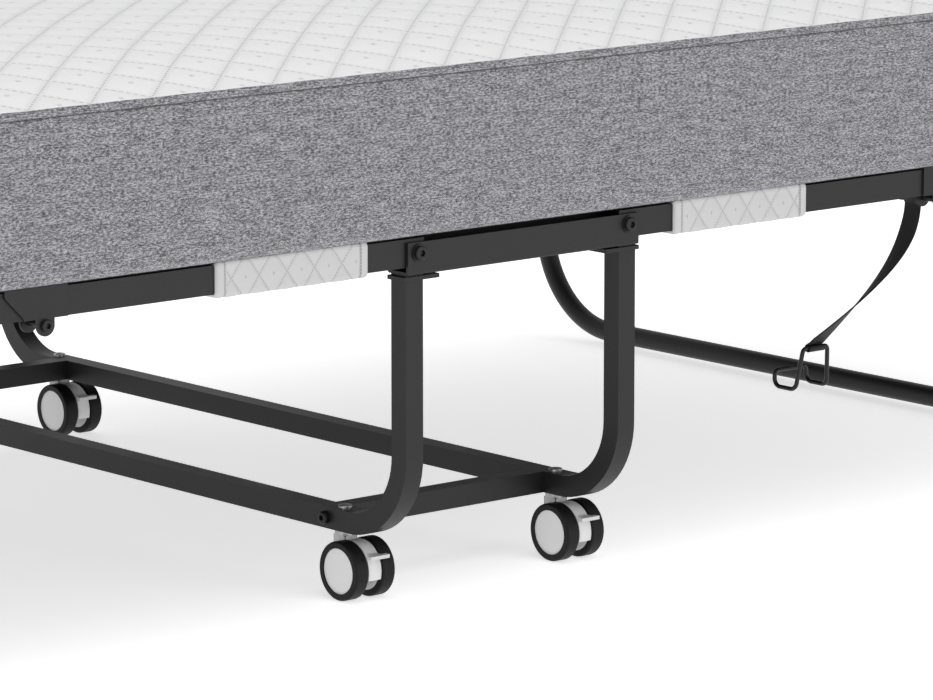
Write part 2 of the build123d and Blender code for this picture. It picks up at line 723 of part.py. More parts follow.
foam_block(
    (
        (-pivot_x + core_rise_bottom, deck_height),
        (pivot_x - core_rise_bottom, deck_height),
        (pivot_x - core_rise_top, core_top),
        (-pivot_x + core_rise_top, core_top),
    ),
    "mattress_core_centre",
    crowned=False,
)
for side, sx in fold_sides:
    core_low = sx * (pivot_x + core_rise_bottom + soft_gap)
    core_high = sx * (pivot_x + core_rise_top + soft_gap)
    soft_high = sx * (pivot_x + soft_rise_top + soft_gap)
    dents = []
    for _, sy in width_sides:
        sleeve_y = sy * (rail_y + sleeve_padding / 2)
        dents += [
            (sx * sleeve_start, sx * sleeve_end, sleeve_y, rail_width + sleeve_padding, sleeve_top),
            (sx * bracket_inner_end, sx * bracket_outer_end, sy * rail_y, bracket_span, bracket_top),
        ]
    foam_block(
        (
            (core_low, deck_height),
            (sx * half_length, deck_height),
            (sx * half_length, core_top),
            (core_high, core_top),
        ),
        f"mattress_core_{side}",
        corner_x=sx,
        crowned=False,
        dents=dents,
    )
    foam_block(
        (
            (core_high, core_top),
            (sx * half_length, core_top),
            (sx * half_length, mattress_top),
            (soft_high, mattress_top),
        ),
        f"mattress_top_{side}",
        corner_x=sx,
    )
    foam_block(
        (
            (0, core_top),
            (sx * (pivot_x - core_rise_top), core_top),
            (sx * (pivot_x - core_rise_bottom), deck_height),
            (sx * (pivot_x + core_rise_bottom), deck_height),
            (sx * (pivot_x + core_rise_top), core_top),
            (sx * (pivot_x + soft_rise_top), mattress_top),
            (0, mattress_top),
        ),
        f"mattress_fold_{side}",
    )

# Lock strap: webbing that hangs from the long splice bolt in a loop, turns a quarter on its way
# down and holds the wire hook in a second loop
strap_y = -(rail_y - bracket_span / 2 - strap_bolt_room / 2)
loop_inner = bracket_bolt_radius + soft_gap
loop_outer = loop_inner + strap_thickness
strap_top_z = bracket_bolt_z - loop_inner - strap_thickness / 2
ring_x = bracket_bolt_x - strap_lean
ring_y = strap_y + strap_sweep
hook_loop_inner = hook_wire_radius + soft_gap
hook_loop_outer = hook_loop_inner + strap_thickness
ring_top = strap_top_z - strap_drop - hook_loop_inner - strap_thickness / 2
strap_stations = 7
with BuildPart() as strap:
    for index in range(strap_stations):
        share = index / (strap_stations - 1)
        bow = radians(90 * share)
        turn = radians(90 * max(0, (share - strap_twist_start) / (1 - strap_twist_start)))
        origin = Vector(
            bracket_bolt_x - strap_lean * (1 - cos(bow)),
            strap_y + strap_sweep * (1 - cos(bow)),
            strap_top_z - strap_drop * share,
        )
        along = Vector(
            -strap_lean * radians(90) * sin(bow),
            strap_sweep * radians(90) * sin(bow),
            -strap_drop,
        ).normalized()
        across = Vector(sin(turn), cos(turn), 0)
        across = across - along * across.dot(along)
        with BuildSketch(Plane(origin=origin, x_dir=across, z_dir=along)):
            Rectangle(strap_width, strap_thickness)
    loft()
    with BuildSketch(Plane.XZ.offset(-strap_y - strap_width / 2)):
        with Locations((bracket_bolt_x, bracket_bolt_z)):
            Circle(loop_outer)
    extrude(amount=strap_width)
    with BuildSketch(Plane.YZ.offset(ring_x - strap_width / 2)):
        with Locations((ring_y, ring_top)):
            Circle(hook_loop_outer)
    extrude(amount=strap_width)
    with Locations(facing_y(bracket_bolt_x, strap_y, bracket_bolt_z, 1)):
        Cylinder(loop_inner, 2 * strap_width, mode=Mode.SUBTRACT)
    with Locations(facing_x(ring_x, ring_y, ring_top, 1)):
        Cylinder(hook_loop_inner, 2 * strap_width, mode=Mode.SUBTRACT)
write(strap, "lock_strap")

# Wire hook at the end of the strap: a closed ring of wire that widens downwards, with its lower
# part bent back and up into a J
hook_front = ring_y + hook_lean
hook_back = hook_front + hook_mouth
hook_low = ring_top - hook_drop
tip_z = hook_low + hook_rise
hook_radii = [hook_corner, hook_bend, hook_bend, hook_corner]
with BuildPart() as hook:
    with BuildLine() as hook_route:
        FilletPolyline(
            (ring_x + hook_width / 2, ring_y, ring_top),
            (ring_x + hook_low_width / 2, hook_front, hook_low),
            (ring_x + hook_low_width / 2, hook_back, hook_low),
            (ring_x + hook_low_width / 2, hook_back, tip_z),
            (ring_x - hook_low_width / 2, hook_back, tip_z),
            (ring_x - hook_low_width / 2, hook_back, hook_low),
            (ring_x - hook_low_width / 2, hook_front, hook_low),
            (ring_x - hook_width / 2, ring_y, ring_top),
            radius=hook_radii + hook_radii,
            close=True,
        )
    with BuildSketch(Plane(origin=hook_route.line @ 0, z_dir=hook_route.line % 0)):
        Circle(hook_wire_radius)
    sweep()
write(hook, "strap_hook")
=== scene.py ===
"""Looks of the folding cot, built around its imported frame. Metres, +Z up, X along the bed."""
import json
import math

import bmesh
import bpy
import numpy as np
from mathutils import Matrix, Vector, noise


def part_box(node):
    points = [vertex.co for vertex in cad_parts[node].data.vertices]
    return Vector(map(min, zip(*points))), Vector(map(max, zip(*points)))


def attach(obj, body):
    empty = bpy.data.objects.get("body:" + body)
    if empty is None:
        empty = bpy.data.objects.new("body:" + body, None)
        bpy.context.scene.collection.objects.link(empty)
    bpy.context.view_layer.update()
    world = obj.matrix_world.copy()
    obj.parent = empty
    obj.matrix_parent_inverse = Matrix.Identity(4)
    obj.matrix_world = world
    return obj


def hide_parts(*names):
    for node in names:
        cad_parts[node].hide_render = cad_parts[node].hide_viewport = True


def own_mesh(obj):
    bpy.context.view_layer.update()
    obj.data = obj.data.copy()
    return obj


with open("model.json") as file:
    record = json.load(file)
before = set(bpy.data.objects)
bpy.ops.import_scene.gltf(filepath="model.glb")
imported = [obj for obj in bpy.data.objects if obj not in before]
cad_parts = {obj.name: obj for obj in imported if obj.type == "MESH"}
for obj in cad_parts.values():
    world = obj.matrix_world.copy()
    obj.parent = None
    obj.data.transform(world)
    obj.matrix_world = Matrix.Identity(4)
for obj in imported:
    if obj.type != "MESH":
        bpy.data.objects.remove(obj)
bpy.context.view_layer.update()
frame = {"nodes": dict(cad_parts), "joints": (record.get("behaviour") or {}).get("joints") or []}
scene = bpy.context.scene
nodes = frame["nodes"]
joint_at = {joint["name"]: Vector(joint["pos_m"]) for joint in frame["joints"]}

MM = 0.001
SEAM_HEIGHT = 446.2 * MM
TOP_PITCH = (59.5 * MM, 54.0 * MM)
TOP_CENTRE = (31.0 * MM, -427.5 * MM)
SLEEVE_PITCH = (28.3 * MM, 38.5 * MM)
HEM_WIDTH = 8.5 * MM
DASH_SHARE = 0.55


# Camera and light

def make_camera(location, azimuth, elevation, lens):
    """The view at rest. Azimuth 0 looks along +Y; elevation is above the horizon, in degrees."""
    turn, rise = math.radians(azimuth), math.radians(elevation)
    back = Vector((math.sin(turn) * math.cos(rise), -math.cos(turn) * math.cos(rise), math.sin(rise)))
    data = bpy.data.cameras.new("camera")
    data.sensor_width = 36.0
    data.lens = lens
    data.clip_end = 100.0
    camera = bpy.data.objects.new("camera", data)
    camera.location = location
    camera.rotation_mode = "QUATERNION"
    camera.rotation_quaternion = (-back).to_track_quat("-Z", "Y")
    scene.collection.objects.link(camera)
    scene.camera = camera


def area_light(name, location, target, size, power):
    """A square soft box at location that faces target."""
    data = bpy.data.lights.new(name, "AREA")
    data.shape = "SQUARE"
    data.size = size
    data.energy = power
    light = bpy.data.objects.new(name, data)
    light.location = location
    light.rotation_mode = "QUATERNION"
    light.rotation_quaternion = (Vector(target) - Vector(location)).to_track_quat("-Z", "Y")
    scene.collection.objects.link(light)


# Finishes

class Finish:
    """One material's nodes, with short ways to make what the finishes share."""

    def __init__(self, name, **settings):
        self.material = bpy.data.materials.new(name)
        self.material.use_nodes = True
        self.tree = self.material.node_tree
        self.shader = self.tree.nodes["Principled BSDF"]
        for socket, value in settings.items():
            self.shader.inputs[socket.replace("_", " ")].default_value = value

    def node(self, kind, *inputs, **attributes):
        """A new node. Inputs are its first sockets in order: values, other sockets, or None."""
        made = self.tree.nodes.new(kind)
        for key, value in attributes.items():
            setattr(made, key, value)
        for socket, value in zip(made.inputs, inputs):
            self.feed(socket, value)
        return made

    def feed(self, socket, value):
        if isinstance(value, bpy.types.NodeSocket):
            self.tree.links.new(value, socket)
        elif value is not None:
            socket.default_value = value

    def place(self, scale=(1, 1, 1), source="Object"):
        """Where a point is on the piece, in metres, times scale."""
        where = self.node("ShaderNodeTexCoord").outputs[source]
        return self.node("ShaderNodeMapping", where, None, None, scale).outputs[0]

    def noise(self, scale, detail=2.0, rough=0.5, stretch=(1, 1, 1), source="Object"):
        """Noise from 0 to 1 with about scale bumps in a metre."""
        made = self.node("ShaderNodeTexNoise", noise_dimensions="3D")
        self.feed(made.inputs["Vector"], self.place(stretch, source))
        made.inputs["Scale"].default_value = scale
        made.inputs["Detail"].default_value = detail
        made.inputs["Roughness"].default_value = rough
        return made.outputs[0]

    def math(self, operation, a, b=None, c=None):
        return self.node("ShaderNodeMath", a, b, c, operation=operation).outputs[0]

    def ramp(self, share, *stops):
        """A colour ramp. Each stop is a place and a grey or a colour."""
        made = self.node("ShaderNodeValToRGB", share)
        for stop, (place, colour) in enumerate(stops):
            if stop < 2:
                element = made.color_ramp.elements[stop]
                element.position = place
            else:
                element = made.color_ramp.elements.new(place)
            element.color = (*(colour if hasattr(colour, "__len__") else grey(colour)), 1)
        return made.outputs[0]

    def between(self, share, low, high):
        """low where share is 0 and high where it is 1."""
        return self.step(share, 0.0, 1.0, low, high)

    def step(self, value, start, end, low, high, interpolation="LINEAR"):
        """Goes from low to high as value goes from start to end."""
        made = self.node("ShaderNodeMapRange", value, start, end, low, high, interpolation_type=interpolation)
        return made.outputs[0]

    def mix(self, share, a, b):
        made = self.node("ShaderNodeMix", data_type="RGBA")
        self.feed(made.inputs[0], share)
        self.feed(made.inputs[6], a if isinstance(a, bpy.types.NodeSocket) else (*a, 1))
        self.feed(made.inputs[7], b if isinstance(b, bpy.types.NodeSocket) else (*b, 1))
        return made.outputs[2]

    def bump(self, height, distance, under=None):
        """A bump of the height, times distance in metres, on top of another bump."""
        made = self.node("ShaderNodeBump")
        self.feed(made.inputs["Height"], height)
        made.inputs["Distance"].default_value = distance
        if under is not None:
            self.feed(made.inputs["Normal"], under)
        return made.outputs[0]

    def wear(self, colour=None, roughness=None, normal=None):
        """Feeds the shader, and returns the material."""
        if colour is not None:
            self.feed(self.shader.inputs["Base Color"], colour)
        if roughness is not None:
            self.feed(self.shader.inputs["Roughness"], roughness)
        if normal is not None:
            self.feed(self.shader.inputs["Normal"], normal)
        return self.material


def grey(value):
    """The colour with all three channels at value."""
    return (value, value, value)


def powder_coat(name, dark, light, rough):
    """Satin paint baked onto steel: a fine orange peel, faint cloudiness and a few dull rubbed spots."""
    f = Finish(name, Specular_IOR_Level=0.3)
    cloud = f.noise(14, 3, 0.6)
    grain = f.noise(1500, 2, 0.6)
    rubbed = f.ramp(f.noise(60, 6, 0.7), (0.62, 0.0), (0.74, 1.0))
    colour = f.mix(f.between(grain, 0.15, 0.85), grey(dark), grey(light))
    colour = f.mix(f.math("MULTIPLY", rubbed, 0.35), colour, grey(light * 1.5))
    roughness = f.math("ADD", f.between(cloud, rough - 0.06, rough + 0.06), f.math("MULTIPLY", rubbed, 0.06))
    return f.wear(colour, roughness, f.bump(grain, 0.00006, f.bump(f.noise(420, 2), 0.00005)))


def plated_steel(name):
    """Zinc-plated steel with fine turning marks."""
    f = Finish(name, Metallic=1.0)
    marks = f.noise(900, 3, 0.7, (0.25, 0.25, 3.0))
    colour = f.mix(f.noise(70, 3), (0.34, 0.34, 0.35), (0.52, 0.51, 0.49))
    return f.wear(colour, f.between(marks, 0.22, 0.42), f.bump(marks, 0.00004))


def moulded(name, dark, light, rough, grain_size=1600):
    """Moulded plastic: an even fine grain, with faint flow marks."""
    f = Finish(name, Specular_IOR_Level=0.45)
    flow = f.noise(35, 2, 0.5, (1.0, 2.2, 0.7))
    grain = f.noise(grain_size, 2, 0.55)
    colour = f.mix(f.between(flow, 0.2, 0.8), grey(dark), grey(light))
    return f.wear(colour, f.between(grain, rough - 0.05, rough + 0.07), f.bump(grain, 0.00005))


def rubber():
    """Black tyre tread: matt, with a little floor dust."""
    f = Finish("tyre_rubber", Specular_IOR_Level=0.22)
    dust = f.ramp(f.noise(160, 5, 0.7), (0.5, 0.0), (0.8, 1.0))
    grain = f.noise(2200, 2)
    colour = f.mix(f.math("MULTIPLY", dust, 0.35), (0.0045, 0.0045, 0.005), (0.016, 0.0155, 0.015))
    return f.wear(colour, f.between(grain, 0.42, 0.60), f.bump(grain, 0.00005))


def heather_knit():
    """Grey heather knit of the border: mixed yarn in short streaks along the bed, on a fine rib, with a dark
    line along its seam: the stitch row with painted shade in the groove under the piping.
    """
    f = Finish("border_knit", Specular_IOR_Level=0.25, Sheen_Weight=0.35, Sheen_Roughness=0.5)
    fleck = f.noise(290, 4, 0.8, (1.0, 2.9, 1.0), "UV")
    speck = f.noise(1100, 2, 0.7, (1.0, 1.6, 1.0), "UV")
    streak = f.noise(40, 4, 0.65, (1.0, 5.0, 1.0), "UV")
    yarn = f.math("ADD", f.math("MULTIPLY", fleck, 0.60), f.math("MULTIPLY", speck, 0.30))
    yarn = f.math("ADD", yarn, f.math("MULTIPLY", streak, 0.14))
    colour = f.ramp(
        yarn,
        (0.435, (0.022, 0.022, 0.025)),
        (0.575, (0.44, 0.44, 0.47)),
        (0.47, (0.062, 0.060, 0.068)),
        (0.50, (0.138, 0.136, 0.148)),
        (0.535, (0.255, 0.252, 0.27)),
    )
    dark = f.ramp(f.noise(125, 4, 0.7, (1.0, 2.4, 1.0), "UV"), (0.56, 0.0), (0.63, 1.0))
    colour = f.mix(f.math("MULTIPLY", dark, 0.75), colour, (0.050, 0.049, 0.054))
    place = f.place(source="UV")
    height = f.node("ShaderNodeSeparateXYZ", place).outputs[1]
    off_seam = f.math("ABSOLUTE", f.math("SUBTRACT", height, SEAM_HEIGHT))
    seam = f.step(off_seam, 0.0002, 0.0009, 1.0, 0.0)
    # A dark line along the seam: its stitch row, darkened further with painted shade of the groove under the
    # piping.
    colour = f.mix(f.math("MULTIPLY", seam, 0.7), colour, (0.020, 0.020, 0.022))
    rib = f.node("ShaderNodeTexWave", place, 620.0, 2.5, 2.0, 1.5, bands_direction="Y").outputs[1]
    relief = f.math("ADD", f.math("MULTIPLY", rib, 0.3), f.math("MULTIPLY", yarn, 1.5))
    relief = f.math("SUBTRACT", relief, f.math("MULTIPLY", seam, 1.5))
    return f.wear(colour, f.between(speck, 0.78, 0.95), f.bump(relief, 0.0003))


def stitch_lines(f, pitch_x, pitch_y, centre, dash, thread):
    """(stitch, groove, tuft) of diamond quilting on the piece's UV map: where thread shows, how far off the
    nearest stitched line is, and how far off the small tuft in a diamond's middle. Sizes are in metres."""
    place = f.node("ShaderNodeSeparateXYZ", f.place(source="UV"))
    p = f.math("DIVIDE", f.math("SUBTRACT", place.outputs[0], centre[0]), pitch_x)
    q = f.math("DIVIDE", f.math("SUBTRACT", place.outputs[1], centre[1]), pitch_y)
    across, along = f.math("ADD", p, q), f.math("SUBTRACT", p, q)
    spacing = 1 / math.hypot(1 / pitch_x, 1 / pitch_y)
    dashes = round(math.hypot(pitch_x, pitch_y) / 2 / dash)
    stitched, from_line, from_middle = [], [], []
    for value, other in ((across, along), (along, across)):
        off_line = f.math("ABSOLUTE", f.math("SUBTRACT", f.math("FRACT", value), 0.5))
        from_line.append(f.math("MULTIPLY", off_line, spacing))
        on_line = f.math("LESS_THAN", from_line[-1], thread / 2)
        wave = f.math("FRACT", f.math("MULTIPLY", other, dashes))
        stitched.append(f.math("MULTIPLY", on_line, f.math("LESS_THAN", wave, DASH_SHARE)))
        half_on = f.math("FRACT", f.math("ADD", value, 0.5))
        from_middle.append(f.math("ABSOLUTE", f.math("SUBTRACT", half_on, 0.5)))
    stitch = f.math("MAXIMUM", *stitched)
    groove = f.math("MINIMUM", *from_line)
    tuft = f.math("MULTIPLY", f.math("ADD", *from_middle), spacing)
    return stitch, groove, tuft


def quilted_cloth(name, pitch_x, pitch_y, centre, dash, thread, white, knit_scale):
    """White quilted cloth: a fine knit, dashes of thread sunk into it with painted shade greying the cloth
    beside them, and a small tuft in each diamond.
    """
    f = Finish(name, Specular_IOR_Level=0.25, Sheen_Weight=0.25, Sheen_Roughness=0.45)
    stitch, groove, tuft = stitch_lines(f, pitch_x, pitch_y, centre, dash, thread)
    sink = f.step(groove, 0.0, 3.2 * thread, 0.0, 1.0, "SMOOTHSTEP")
    dimple = f.step(tuft, 0.0, 2.6 * thread, 0.0, 1.0, "SMOOTHSTEP")
    knit = f.noise(knit_scale, 2, 0.6, (1.0, 1.3, 1.0), "UV")
    pucker = f.noise(knit_scale / 9, 3, 0.6, (1.0, 1.0, 1.0), "UV")
    cloth = f.mix(knit, grey(white * 0.93), grey(white))
    # Painted shade: the cloth greys towards each sunk stitched line, in its groove.
    cloth = f.mix(f.math("SUBTRACT", 1.0, sink), cloth, grey(white * 0.92))
    cloth = f.mix(f.math("MULTIPLY", stitch, 0.65), cloth, grey(white * 0.42))
    cloth = f.mix(f.math("MULTIPLY", f.math("SUBTRACT", 1.0, dimple), 0.35), cloth, grey(white * 0.55))
    folds = f.math("MULTIPLY", pucker, f.math("SUBTRACT", 1.0, f.math("MULTIPLY", sink, 0.75)))
    normal = f.bump(f.math("MULTIPLY", sink, dimple), thread * 0.8)
    normal = f.bump(folds, thread * 0.5, normal)
    return f.wear(cloth, f.between(knit, 0.75, 0.92), f.bump(knit, 0.00012, normal))


def hem_cloth():
    """The plain bound end of a sleeve, with one row of stitches. The UV map's first value is the distance
    from the end."""
    f = Finish("sleeve_hem", Specular_IOR_Level=0.25, Sheen_Weight=0.25, Sheen_Roughness=0.45)
    place = f.node("ShaderNodeSeparateXYZ", f.place(source="UV"))
    off_seam = f.math("ABSOLUTE", f.math("SUBTRACT", place.outputs[0], HEM_WIDTH))
    line = f.step(off_seam, 0.0003, 0.0011, 1.0, 0.0)
    along = f.math("FRACT", f.math("DIVIDE", place.outputs[1], 0.0028))
    dash = f.between(f.math("LESS_THAN", along, 0.6), 0.25, 0.6)
    knit = f.noise(2600, 2, 0.6, source="UV")
    colour = f.mix(f.math("MULTIPLY", line, dash), f.mix(knit, grey(0.48), grey(0.52)), grey(0.16))
    height = f.math("SUBTRACT", f.math("MULTIPLY", knit, 0.2), line)
    return f.wear(colour, f.between(knit, 0.75, 0.92), f.bump(height, 0.0006))


def underside_cloth():
    """Black spun-bonded cloth under the mattress, with its dimpled bonding pattern."""
    f = Finish("underside_cloth", Specular_IOR_Level=0.2)
    dots = f.node("ShaderNodeTexVoronoi", f.place(source="UV"), None, 520.0).outputs[0]
    colour = f.mix(f.noise(90, 3, source="UV"), (0.004, 0.004, 0.004), (0.010, 0.010, 0.010))
    return f.wear(colour, f.between(dots, 0.75, 0.95), f.bump(dots, 0.0002))


def webbing_weave():
    """Black polypropylene webbing: ribs along the band, crossed by finer picks."""
    f = Finish("webbing", Specular_IOR_Level=0.25, Sheen_Weight=0.05)
    place = f.place(source="UV")
    ribs = f.node("ShaderNodeTexWave", place, 260.0, 0.6, 1.0, 2.0, bands_direction="X").outputs[1]
    picks = f.node("ShaderNodeTexWave", place, 420.0, 0.8, 1.0, 2.0, bands_direction="Y").outputs[1]
    weave = f.math("ADD", f.math("MULTIPLY", ribs, 0.6), f.math("MULTIPLY", picks, 0.4))
    colour = f.mix(weave, (0.003, 0.003, 0.003), (0.010, 0.010, 0.010))
    return f.wear(colour, f.between(weave, 0.7, 0.45), f.bump(weave, 0.0003))


def pale_floor():
    """A pale studio floor with a little light of its own."""
    f = Finish("studio_floor", Specular_IOR_Level=0.1, Emission_Color=(1, 1, 1, 1), Emission_Strength=0.62)
    return f.wear(f.mix(f.noise(3, 2), grey(0.86), grey(0.88)), f.between(f.noise(40, 2), 0.8, 0.9))


finishes = {
    "frame": powder_coat("frame_paint", 0.008, 0.015, 0.42),
    "wire": powder_coat("wire_paint", 0.011, 0.018, 0.36),
    "bolt": powder_coat("bolt_black", 0.006, 0.011, 0.38),
    "hook": powder_coat("hook_coat", 0.007, 0.013, 0.33),
    "zinc": plated_steel("zinc_plate"),
    "caster": moulded("caster_shell", 0.66, 0.72, 0.42),
    "caster_core": moulded("caster_core", 0.006, 0.010, 0.5),
    "lever": moulded("lever_plastic", 0.58, 0.64, 0.40),
    "hub": moulded("hub_plastic", 0.74, 0.79, 0.40),
    "foot": moulded("foot_plastic", 0.010, 0.016, 0.55, 1200),
    "tyre": rubber(),
    "border": heather_knit(),
    "quilt": quilted_cloth("top_quilt", *TOP_PITCH, TOP_CENTRE, 6.0 * MM, 1.5 * MM, 0.80, 1300),
    "sleeve": quilted_cloth("sleeve_quilt", *SLEEVE_PITCH, (0.0, 0.0), 2.8 * MM, 0.8 * MM, 0.53, 2600),
    "hem": hem_cloth(),
    "under": underside_cloth(),
    "webbing": webbing_weave(),
}

NODE_FINISHES = (
    ("cart_u_frame", "frame"), ("cross_tube_bolts", "bolt"), ("cross_tube", "frame"),
    ("post_cap", "frame"), ("centre_channel", "frame"), ("pivot_bolts", "bolt"),
    ("centre_deck", "wire"), ("deck_wires", "wire"), ("inner_rail", "frame"), ("end_frame", "frame"),
    ("splice_brackets", "frame"), ("splice_bolts", "bolt"), ("leg_frame", "frame"),
    ("leg_foot", "foot"), ("leg_hinge", "bolt"), ("caster_stem", "zinc"),
    ("caster_housing", "caster_core"), ("caster_tyres", "tyre"), ("caster_hubs", "hub"),
    ("brake_lever", "lever"), ("strap_hook", "hook"), ("mattress", "border"),
    ("rail_sleeves", "sleeve"), ("lock_strap", "webbing"),
)


def finish_cad_nodes():
    """Gives each CAD node its finish, by the start of its name."""
    for name, node in nodes.items():
        finish = next(f for start, f in NODE_FINISHES if name.startswith(start))
        node.data.materials.clear()
        node.data.materials.append(finishes[finish])


# Shared mesh making

def new_object(name, points, faces, materials, face_slots=None, uvs=None):
    """A mesh object. uvs holds one list of pairs for each face."""
    mesh = bpy.data.meshes.new(name)
    mesh.from_pydata([tuple(p) for p in points], [], faces)
    for material in materials:
        mesh.materials.append(material)
    if face_slots is not None:
        mesh.polygons.foreach_set("material_index", face_slots)
    if uvs is not None:
        layer = mesh.uv_layers.new(name="cloth")
        layer.data.foreach_set("uv", [value for face in uvs for pair in face for value in pair])
    mesh.polygons.foreach_set("use_smooth", [True] * len(mesh.polygons))
    mesh.update()
    made = bpy.data.objects.new(name, mesh)
    scene.collection.objects.link(made)
    return made


def pillow(u, v, sharp):
    """Height from 0 on a stitched line to 1 in the middle of a diamond; u and v are whole at its middle."""
    across = np.abs(2 * (u - np.floor(u)) - 1)
    along = np.abs(2 * (v - np.floor(v)) - 1)
    return (1 - (1 - across) ** sharp) * (1 - (1 - along) ** sharp)


def roll(x, y, z, size):
    """Smooth unevenness from -1 to 1 with lumps of about that size."""
    return noise.noise(Vector((x / size, y / size, z / size)))


# Mattress

core_low, core_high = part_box("mattress_core_left")
HALF_LENGTH = -core_low.x
HALF_WIDTH = core_high.y
BOTTOM = core_low.z
BORDER = 139.6 * MM
EDGE = BOTTOM + BORDER
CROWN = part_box("mattress_top_left")[1].z - EDGE
CROWN_REACH = 300 * MM
CROWN_SHAPE = 2.6
CORNER = 22 * MM
PANEL_INSET = 1.2 * MM
PUFF = 2.2 * MM
PUFF_EDGE = 7 * MM
UNEVEN_EDGE = 70 * MM
# Lumps of the top: how high, how long and their own layer of the noise
LUMPS = ((1.2 * MM, 0.16, 0), (0.5 * MM, 0.05, 4))
PIVOT = joint_at["right_fold"]
CUT = PIVOT.x + BOTTOM - PIVOT.z
QUILT, KNIT, UNDER = range(3)
# The side wall from the top panel down: inset from the outline and height above the bottom, in millimetres
WALL = ((0.3, 138.2), (0.0, 136.4), (0.2, 134.2), (1.3, 132.8), (0.2, 131.4), (-0.1, 128.0), (-0.4, 116.0),
        (-0.7, 98.0), (-0.9, 78.0), (-0.8, 58.0), (-0.6, 38.0), (-0.3, 22.0), (0.1, 15.0), (0.7, 11.0),
        (1.8, 7.4), (3.5, 4.4), (5.8, 2.2), (8.6, 0.8), (12.0, 0.0))
UNDER_HEIGHT = 1.0
WALL_LOOSE = 0.8 * MM
WALL_LUMP = 0.13
LOOSE_FROM, LOOSE_TO, LOOSE_FADE = 7, 132, 20


def grid_lines(pitch, phase, limit, fixed):
    """Places from -limit to limit, a twelfth of the pitch apart, with those in fixed among them."""
    step = pitch / 12
    first = math.ceil((-limit - phase) / step)
    last = math.floor((limit - phase) / step)
    places = {-limit, limit, *fixed}
    for index in range(first, last + 1):
        place = phase + index * step
        if min(abs(place - kept) for kept in places) > 0.3 * step:
            places.add(place)
    return sorted(places)


def to_outline(x, y, inset):
    """Pulls a point of a rectangle into the mattress outline with its rounded corners."""
    radius = CORNER - inset
    corner = Vector((HALF_LENGTH - inset - radius, HALF_WIDTH - inset - radius))
    out = Vector((abs(x) - corner.x, abs(y) - corner.y))
    if out.x > 0 and out.y > 0:
        out *= max(out.x, out.y) / out.length
    return Vector((math.copysign(corner.x + out.x, x), math.copysign(corner.y + out.y, y)))


def crown_share(distance):
    """How much of the crown's height a point has at that distance inside the edge."""
    return 1 - (1 - min(distance / CROWN_REACH, 1)) ** CROWN_SHAPE


def top_height(x, y):
    """Height of the quilted top: crowned, puffed between its stitched lines and a little uneven."""
    ends, sides = HALF_LENGTH - abs(x), HALF_WIDTH - abs(y)
    p, q = (x - TOP_CENTRE[0]) / TOP_PITCH[0], (y - TOP_CENTRE[1]) / TOP_PITCH[1]
    puffed = pillow(p + q, p - q, 2.6)
    near_edge = min(1, min(ends, sides) / PUFF_EDGE)
    settled = min(1, min(ends, sides) / UNEVEN_EDGE)
    uneven = sum(height * roll(x, y, layer, size) for height, size, layer in LUMPS)
    crown = CROWN * crown_share(ends) * crown_share(sides)
    return EDGE + crown + near_edge * PUFF * (puffed - 1) + settled * uneven


def way_out(spot):
    """The direction out of the mattress at a point of its rim."""
    past = Vector((abs(spot.x) - (HALF_LENGTH - CORNER), abs(spot.y) - (HALF_WIDTH - CORNER)))
    if min(past) <= 0:
        past = Vector((0, 1) if abs(spot.y) >= HALF_WIDTH - 2 * PANEL_INSET else (1, 0))
    past.normalize()
    return Vector((math.copysign(past.x, spot.x), math.copysign(past.y, spot.y)))


class Skin:
    """The mattress skin as it grows: points, faces, and each face's material and UVs."""

    def __init__(self):
        self.points, self.faces, self.slots, self.uvs = [], [], [], []

    def add(self, corners, slot, uv):
        self.faces.append(tuple(corners))
        self.slots.append(slot)
        self.uvs.append(uv)

    def add_level(self, corners, slot):
        """A face whose UVs are its places along and across the bed."""
        self.add(corners, slot, [self.points[c][:2] for c in corners])


def add_top(skin, xs, ys):
    """The quilted panel, a grid with each cell split along its lower diagonal, where the stitching runs."""
    rows = len(ys)
    for x in xs:
        for y in ys:
            px, py = to_outline(x, y, PANEL_INSET)
            skin.points.append((px, py, top_height(px, py)))
    for i in range(len(xs) - 1):
        for j in range(rows - 1):
            a, b = i * rows + j, (i + 1) * rows + j
            corners = (a, b, b + 1, a + 1)
            heights = [skin.points[c][2] for c in corners]
            turn = 0 if heights[0] + heights[2] < heights[1] + heights[3] else 1
            corners = corners[turn:] + corners[:turn]
            skin.add_level(corners[:3], QUILT)
            skin.add_level((corners[0], *corners[2:]), QUILT)


def grid_rim(columns, rows):
    """The outer points of the grid, anticlockwise from above, from its near left corner."""
    rim = [(i, 0) for i in range(columns)]
    rim += [(columns - 1, j) for j in range(1, rows)]
    rim += [(i, rows - 1) for i in range(columns - 2, -1, -1)]
    rim += [(0, j) for j in range(rows - 2, 0, -1)]
    return [i * rows + j for i, j in rim]


def add_walls(skin, rim):
    """The side walls, ring by ring from the rim down. Returns the lowest ring."""
    spots = [Vector(skin.points[c][:2]) for c in rim]
    outward = [way_out(spot) for spot in spots]
    along = [0.0]
    for here, there in zip(spots, spots[1:] + spots[:1]):
        along.append(along[-1] + (there - here).length)
    ring, above = rim, EDGE
    for inset, height in WALL:
        z = BOTTOM + height * MM
        share = min(1, (height - LOOSE_FROM) / LOOSE_FADE, (LOOSE_TO - height) / LOOSE_FADE)
        loose = WALL_LOOSE * max(0, share)
        slot = UNDER if height < UNDER_HEIGHT else KNIT
        new_ring = range(len(skin.points), len(skin.points) + len(rim))
        for spot, out in zip(spots, outward):
            move = PANEL_INSET - inset * MM + loose * roll(spot.x, spot.y, z, WALL_LUMP)
            skin.points.append((*(spot + out * move), z))
        for k, (here, there) in enumerate(zip(along, along[1:])):
            n = (k + 1) % len(rim)
            uv = [(there, above), (here, above), (here, z), (there, z)]
            skin.add((ring[n], ring[k], new_ring[k], new_ring[n]), slot, uv)
        ring, above = new_ring, z
    return ring


